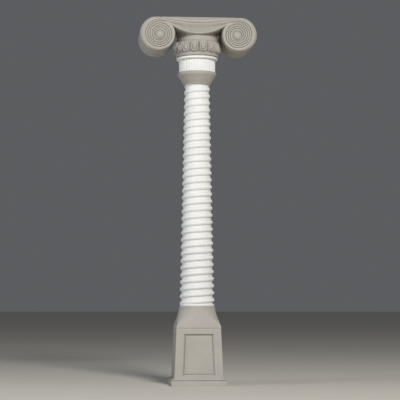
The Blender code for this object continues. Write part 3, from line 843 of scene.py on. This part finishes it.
def line_relief(x, up):
    """The two grooves on their way over the cushion to the tops of the volutes."""
    upper = up - sagging(x, upper_line_height, UPPER_LINE_SAG)
    lower = up - sagging(x, lower_line_height, LOWER_LINE_SAG)
    share = smooth((np.abs(x) - LOWER_LINE_END) / (LOWER_LINE_FULL - LOWER_LINE_END))
    return -GROOVE_DEPTH * (dip(upper, GROOVE_WIDTH) + share * dip(lower, GROOVE_WIDTH))


def face_relief(out, up):
    """What is cut into a volute: its spiral, and on the inner side the two lines that lead to it."""
    inner = (out < SPIRAL_POLE_OUT) & (up > 0.0)
    return spiral_relief(out, up) + np.where(inner, line_relief(eye_x + out, up), 0.0)


print(f"upper groove {upper_line_height:.4f} m over the eyes, lower {lower_line_height:.4f} m")

# %% [markdown]
# ## The volutes
#
# Seen from the front a volute is a disc; from the side it is a bolster that runs from front to
# back. Its rounded margin is broad on the outer side and narrow on the inner one, because the
# face's circle sits about the eye and the bolster's about its own axis. So every row of the margin
# is a circle whose centre and radius slide from the one to the other. On the face, rows that are
# circles would cross the grooves and chip them. There the rows wind in with the grooves instead:
# after one turn each row runs on into the row that starts one pitch further in, and where a row
# would leave the face it is held on its edge, and the doubled points are merged.

# %% Volutes: rows that wind in with the grooves
VOLUTE_COLUMNS = 176
PITCH_SHARES = (0.0, 0.033, 0.063, 0.095, 0.13, 0.18, 0.26, 0.34, 0.39, 0.425, 0.457, 0.487,
                0.52, 0.553, 0.583, 0.615, 0.65, 0.70, 0.76, 0.82, 0.87, 0.905, 0.937, 0.967)
EYE_ROWS = (0.002, 0.006, 0.010, 0.014, 0.0175, 0.0205, 0.0225, 0.0235, 0.0240, 0.0243, 0.0255,
            0.027, 0.0285, 0.030, 0.0312, 0.0324, 0.0335, 0.0346, 0.0358, 0.037, 0.0385)

first_angle = math.acos(SPIRAL_POLE_OUT / VOLUTE_FACE_RADIUS)
column_angles = first_angle - np.arange(VOLUTE_COLUMNS) * TURN / VOLUTE_COLUMNS
column_ways = np.stack([np.cos(column_angles), np.sin(column_angles)], axis=-1)


def winding_rows():
    """Points (out, up) of the face between the eye's ring and the outer circle, from the inside out."""
    pole = np.array([SPIRAL_POLE_OUT, SPIRAL_POLE_UP])
    away = VOLUTE_FACE_RADIUS * column_ways - pole
    outer = np.linalg.norm(away, axis=1)
    away = away / outer[:, None]
    along = away @ pole
    inner = np.sqrt(along ** 2 - pole @ pole + SPIRAL_END_RADIUS ** 2) - along
    turn = (np.arctan2(away[:, 0], away[:, 1]) / TURN) % 1.0
    turn[0] = 0.0
    starts = [winding + share for winding in (-1, 0, 1, 2) for share in PITCH_SHARES] + [3.0]
    rows = [pole + away * np.clip(SPIRAL_START - SPIRAL_PITCH * (start + turn), inner, outer)[:, None]
            for start in reversed(starts)]
    return np.array(rows)


def face_rows():
    """Points (out, up) of the whole face, from the eye's middle to the outer circle."""
    winding = winding_rows()
    eye = [winding[0] * radius / SPIRAL_END_RADIUS for radius in EYE_ROWS]
    return np.concatenate([eye, winding])


# %% Volutes: face, margin and bolster
BELT_WIDTH = 0.050
BELT_RISE = 0.005
BELT_ROUNDING = 0.006
CORD_DEPTH = 0.0025
CORD_INSET = 0.008
CORD_WIDTH = 0.002
MARGIN_FADE_START = 0.55
MARGIN_FADE_LENGTH = 0.25
MERGE_DISTANCE = 0.000001
WAIST_DEPTH = 0.009
WAIST_LENGTH = 0.060


def on_the_face(side, face):
    """Places of the face's points, with the grooves and the eye."""
    rows = face_rows()
    out, up = rows[..., 0], rows[..., 1]
    from_eye = np.hypot(out, up)
    eye = EYE_RISE * np.sqrt(np.clip(1.0 - (from_eye / EYE_RADIUS) ** 2, 0.0, 1.0))
    depth = CAPITAL_DEPTH / 2.0 + face_relief(out, up) + eye
    return np.stack([side * (eye_x + out), face * depth, EYE_HEIGHT + up], axis=-1)


def on_the_margin(side, face):
    """Places of the margin's points, from the face's circle to the bolster's full girth."""
    rows = []
    for lean in np.concatenate([np.linspace(0.0, 0.7, 20)[1:], np.linspace(0.78, QUARTER, 12)]):
        share = math.sin(lean)
        radius = mix(VOLUTE_FACE_RADIUS, VOLUTE_RADIUS, share)
        x = mix(eye_x, VOLUTE_SPACING / 2.0, share) + radius * column_ways[:, 0]
        z = mix(EYE_HEIGHT, VOLUTE_HEIGHT, share) + radius * column_ways[:, 1]
        cut = face_relief(x - eye_x, z - EYE_HEIGHT)
        relief = cut * (1.0 - smooth((share - MARGIN_FADE_START) / MARGIN_FADE_LENGTH))
        shoulder = VOLUTE_SHOULDER_LENGTH * (1.0 - math.cos(lean))
        depth = CAPITAL_DEPTH / 2.0 - shoulder + relief * math.cos(lean)
        spread = (relief * math.sin(lean))[:, None] * column_ways
        rows.append(np.column_stack([side * (x + spread[:, 0]), face * depth, z + spread[:, 1]]))
    return np.array(rows)


def on_the_bolster(side):
    """Places of the points between the margins: a slight waist, and a belt with two fine grooves."""
    reach = CAPITAL_DEPTH / 2.0 - VOLUTE_SHOULDER_LENGTH
    rows = []
    for depth in np.linspace(-reach, reach, 61)[1:-1]:
        waist = WAIST_DEPTH * float(smooth((reach - abs(depth)) / WAIST_LENGTH))
        belt = BELT_RISE * float(smooth((BELT_WIDTH / 2.0 - abs(depth)) / BELT_ROUNDING))
        cord = CORD_DEPTH * float(dip(abs(depth) - BELT_WIDTH / 2.0 + CORD_INSET, CORD_WIDTH))
        circle = (VOLUTE_RADIUS - waist + belt - cord) * column_ways
        rows.append(np.column_stack([side * (VOLUTE_SPACING / 2.0 + circle[:, 0]),
                                     np.full(VOLUTE_COLUMNS, depth), VOLUTE_HEIGHT + circle[:, 1]]))
    return np.array(rows)


def volute_mesh(name, side):
    front, back = on_the_face(side, -1.0), on_the_face(side, 1.0)[::-1]
    body = [on_the_margin(side, -1.0), on_the_bolster(side), on_the_margin(side, 1.0)[::-1]]
    points = np.concatenate([front, *body, back])
    points[..., 2] += FOOT["capital"]
    rows, columns = points.shape[:2]
    row = np.arange(rows)
    first, last = len(EYE_ROWS), len(front) - 1
    joined = np.where((row >= first) & (row <= last), np.clip(row - len(PITCH_SHARES), first, last), row)
    joined_back = rows - 1 - joined[::-1]
    joined = np.where(row > rows // 2, joined_back, joined)
    faces = []
    for low in range(rows - 1):
        start, above = low * columns, (low + 1) * columns
        faces += [(start + i, start + i + 1, above + i + 1, above + i) for i in range(columns - 1)]
        next_start, next_above = int(joined[low]) * columns, int(joined[low + 1]) * columns
        faces.append((above - 1, next_start, next_above, above + columns - 1))
    faces += [tuple(range(columns)), tuple(range((rows - 1) * columns, rows * columns))]
    raw = bpy.data.meshes.new(name)
    raw.from_pydata(points.reshape(-1, 3).tolist(), [], faces)
    build = bmesh.new()
    build.from_mesh(raw)
    bmesh.ops.remove_doubles(build, verts=build.verts, dist=MERGE_DISTANCE)
    cut_level(build, HEAD["capital"] - VOLUTE_TOP_SINK, True)
    bmesh.ops.holes_fill(build, edges=[edge for edge in build.edges if edge.is_boundary], sides=0)
    bmesh.ops.recalc_face_normals(build, faces=build.faces)
    mesh = bpy.data.meshes.new(name)
    build.to_mesh(mesh)
    build.free()
    shade(mesh, 40.0)
    return mesh


for name, side in (("capital_volute_left", -1.0), ("capital_volute_right", 1.0)):
    dress(link(name, volute_mesh(name, side)), "capital", grey_stone)

# %% [markdown]
# ## The cushion between the volutes
#
# The cushion is a band that sags between the volutes, with a hollow channel in its face and a
# round rim along its lower edge. Channel and rim fade out towards the volutes, and its lines sag
# by different amounts. So the grid's rows run up the section and its columns along the cushion,
# and each column asks where its own lines are.

# %% Cushion
CUSHION_COLUMNS = 141
SECTION_ROWS = (12, 18, 22, 14, 12)
CUSHION_END_RADIUS = 0.095
EDGE_MEETS_VOLUTE = 0.205
EDGE_HIDDEN = 0.225
RIM_HEIGHT = 0.010
RIM_RISE = 0.0045
RIM_WIDTH = 0.0110
RIM_FADE = 0.180
EDGE_ROUNDING = 0.006
TOP_EDGE = 0.004
END_SINK = 0.0045
END_SINK_START = 0.243
CHANNEL_DEPTH = 0.018
CHANNEL_DEEPEST = 0.37
CHANNEL_FADE = 0.120
FILLET_SAG = 0.0165
FILLET_HALF_WIDTH = 0.225
FILLET_LEAST = 0.002
FILLET_FADE = 0.05


def cushion_edge(x):
    """The lower edge: an arc between the volutes, and out of sight behind their faces at its ends."""
    arc_height = CUSHION_SAG_HEIGHT + CUSHION_SAG_RADIUS - math.sqrt(CUSHION_SAG_RADIUS ** 2 - x ** 2)
    behind = EYE_HEIGHT + math.sqrt(max(CUSHION_END_RADIUS ** 2 - (eye_x - abs(x)) ** 2, 0.0))
    share = float(smooth((abs(x) - EDGE_MEETS_VOLUTE) / (EDGE_HIDDEN - EDGE_MEETS_VOLUTE)))
    return mix(arc_height, min(arc_height, behind), share)


def cushion_lines(x):
    """Heights above the foot: edge, rim, lower line, upper line, fillet and top."""
    edge = cushion_edge(x)
    lower = EYE_HEIGHT + float(sagging(x, lower_line_height, LOWER_LINE_SAG))
    upper = EYE_HEIGHT + float(sagging(x, upper_line_height, UPPER_LINE_SAG))
    fillet = CAPITAL_HEIGHT - max(FILLET_SAG * (1.0 - (x / FILLET_HALF_WIDTH) ** 2), FILLET_LEAST)
    return [edge, edge + min(RIM_HEIGHT, 0.5 * (lower - edge)), lower, upper, fillet, CAPITAL_HEIGHT]


def section_levels(lines):
    """Heights of the grid's rows: one on every line, and closer together towards each of them."""
    levels = []
    for low, high, count in zip(lines, lines[1:], SECTION_ROWS):
        share = 0.5 - 0.5 * np.cos(np.linspace(0.0, math.pi, count + 1)[:-1])
        levels.append(mix(low, high, share))
    return np.concatenate([*levels, [lines[-1]]])


def cushion_depth(x, lines, levels):
    """How far the front face stands from the middle of the capital, up one section."""
    edge, rim_crest, _, upper, fillet, _ = lines
    face_top = EYE_HEIGHT + VOLUTE_FACE_RADIUS
    girth_top = VOLUTE_HEIGHT + VOLUTE_RADIUS
    share = np.clip((levels - face_top) / (girth_top - face_top), 0.0, 1.0)
    depth = CAPITAL_DEPTH / 2.0 - CUSHION_SETBACK - VOLUTE_SHOULDER_LENGTH * (1.0 - np.sqrt(1.0 - share ** 2))
    over_edge = levels - edge
    fade = 1.0 - float(smooth((abs(x) - RIM_FADE) / (EDGE_MEETS_VOLUTE - RIM_FADE)))
    rim = RIM_RISE * fade * dip(over_edge - RIM_HEIGHT, RIM_WIDTH)
    under = EDGE_ROUNDING * (1.0 - np.sqrt(1.0 - np.clip(1.0 - over_edge / EDGE_ROUNDING, 0.0, 1.0) ** 2))
    across = (levels - rim_crest) / max(upper - GROOVE_WIDTH - rim_crest, 0.001)
    channel = smooth(across / CHANNEL_DEEPEST) * smooth((1.0 - across) / (1.0 - CHANNEL_DEEPEST))
    channel_fade = 1.0 - float(smooth((abs(x) - CHANNEL_FADE) / (EDGE_HIDDEN - CHANNEL_FADE)))
    channel = CHANNEL_DEPTH * channel_fade * channel
    fillet_fade = float(smooth((FILLET_HALF_WIDTH - abs(x)) / FILLET_FADE))
    fillet_line = GROOVE_DEPTH * fillet_fade * dip(levels - fillet, GROOVE_WIDTH)
    return depth + rim - under - channel - fillet_line + line_relief(x, levels - EYE_HEIGHT)


def cushion_points():
    columns = []
    for x in np.linspace(-eye_x, eye_x, CUSHION_COLUMNS):
        lines = cushion_lines(x)
        levels = section_levels(lines)
        sunk = END_SINK * float(smooth((abs(x) - END_SINK_START) / (eye_x - END_SINK_START)))
        depth = cushion_depth(x, lines, levels) - sunk
        levels, depth = np.append(levels, CAPITAL_HEIGHT), np.append(depth, depth[-1] - TOP_EDGE)
        front = np.column_stack([np.full(len(levels), x), -depth, levels])
        back = np.column_stack([np.full(len(levels), x), depth, levels])[::-1]
        columns.append(np.concatenate([front, back]))
    points = np.array(columns)
    points[..., 2] += FOOT["capital"]
    return points


cushion_mesh = grid_mesh("capital_cushion", cushion_points())
build = bmesh.new()
build.from_mesh(cushion_mesh)
bmesh.ops.recalc_face_normals(build, faces=build.faces)
build.to_mesh(cushion_mesh)
build.free()
shade(cushion_mesh, 40.0)
dress(link("capital_cushion", cushion_mesh), "capital", grey_stone)

# %% [markdown]
# ## Floor, light and camera
#
# A plain pale floor and soft light let the stone speak. The column was seen from low down and a
# little to its left: the camera stands ten and a half metres away, a little above knee height,
# and looks slightly up. A large soft lamp above and to the right of it lights the tops of the
# mouldings, a weaker and cooler one fills from the left, and a dim sky keeps the shadows open.

# %% Floor
FLOOR_RADIUS = 60.0
FLOOR_CLOUD_SCALE = 3.0
FLOOR_COLOUR = (0.66, 0.62, 0.55, 1.0)
FLOOR_PALER = (0.70, 0.66, 0.59, 1.0)

floor_build = bmesh.new()
bmesh.ops.create_circle(floor_build, cap_ends=True, segments=96, radius=FLOOR_RADIUS)
floor_mesh = bpy.data.meshes.new("floor")
floor_build.to_mesh(floor_mesh)
floor_build.free()
floor = link("floor", floor_mesh)
floor_finish = Finish("pale_floor")
floor_place = floor_finish.node("ShaderNodeTexCoord", {}, {}, "Object")
floor_clouds = {"Vector": floor_place, "Scale": FLOOR_CLOUD_SCALE, "Detail": 3.0}
floor_noise = floor_finish.node("ShaderNodeTexNoise", {}, floor_clouds, "Fac")
floor_colour = colour_mix(floor_finish, floor_noise, FLOOR_COLOUR, FLOOR_PALER)
floor_finish.feed(floor_finish.shader.inputs["Base Color"], floor_colour)
floor_finish.shader.inputs["Roughness"].default_value = 0.9
floor_mesh.materials.append(floor_finish.material)

# %% Light
SKY_COLOUR = (0.92, 0.96, 1.02, 1.0)
SKY_STRENGTH = 0.115
LAMP_TARGET = Vector((0.0, 0.0, 1.4))
LAMP_SIZE = 3.0
KEY_PLACE = (2.3, -9.8, 7.2)
KEY_POWER = 1045.0
KEY_COLOUR = (1.0, 0.98, 0.955)
FILL_PLACE = (-6.0, -2.5, 2.6)
FILL_POWER = 125.0
FILL_COLOUR = (0.84, 0.92, 1.0)

world = bpy.data.worlds.new("studio")
world.use_nodes = True
sky = world.node_tree.nodes["Background"]
sky.inputs["Color"].default_value = SKY_COLOUR
sky.inputs["Strength"].default_value = SKY_STRENGTH
bpy.context.scene.world = world
bpy.context.scene.view_settings.view_transform = "Standard"


def lamp(name, place, power, colour):
    data = bpy.data.lights.new(name, "AREA")
    data.shape = "DISK"
    data.size = LAMP_SIZE
    data.energy = power
    data.color = colour
    item = bpy.data.objects.new(name, data)
    item.location = place
    item.rotation_euler = (LAMP_TARGET - Vector(place)).to_track_quat("-Z", "Y").to_euler()
    bpy.context.scene.collection.objects.link(item)


lamp("key", KEY_PLACE, KEY_POWER, KEY_COLOUR)
lamp("side fill", FILL_PLACE, FILL_POWER, FILL_COLOUR)
print("two lamps and a pale sky")

# %% Camera
FIELD_PIXELS = 1430.0
CAMERA_DISTANCE = 10.575
CAMERA_HEIGHT = 0.6286
CAMERA_TURN = math.radians(4.7)
CAMERA_TILT = math.radians(3.95)
AXIS_OFFSET_PIXELS = 2.97
IMAGE_WIDTH = 400.0

heading = CAMERA_TURN + math.atan(AXIS_OFFSET_PIXELS / FIELD_PIXELS)
camera_data = bpy.data.cameras.new("camera")
camera_data.angle = 2.0 * math.atan(IMAGE_WIDTH / 2.0 / FIELD_PIXELS)
camera_data.clip_end = 200.0
camera = bpy.data.objects.new("camera", camera_data)
camera_x = -math.sin(CAMERA_TURN) * CAMERA_DISTANCE
camera_y = -math.cos(CAMERA_TURN) * CAMERA_DISTANCE
camera.location = (camera_x, camera_y, CAMERA_HEIGHT)
camera.rotation_euler = (QUARTER + CAMERA_TILT, 0.0, -heading)
bpy.context.scene.collection.objects.link(camera)
bpy.context.scene.camera = camera
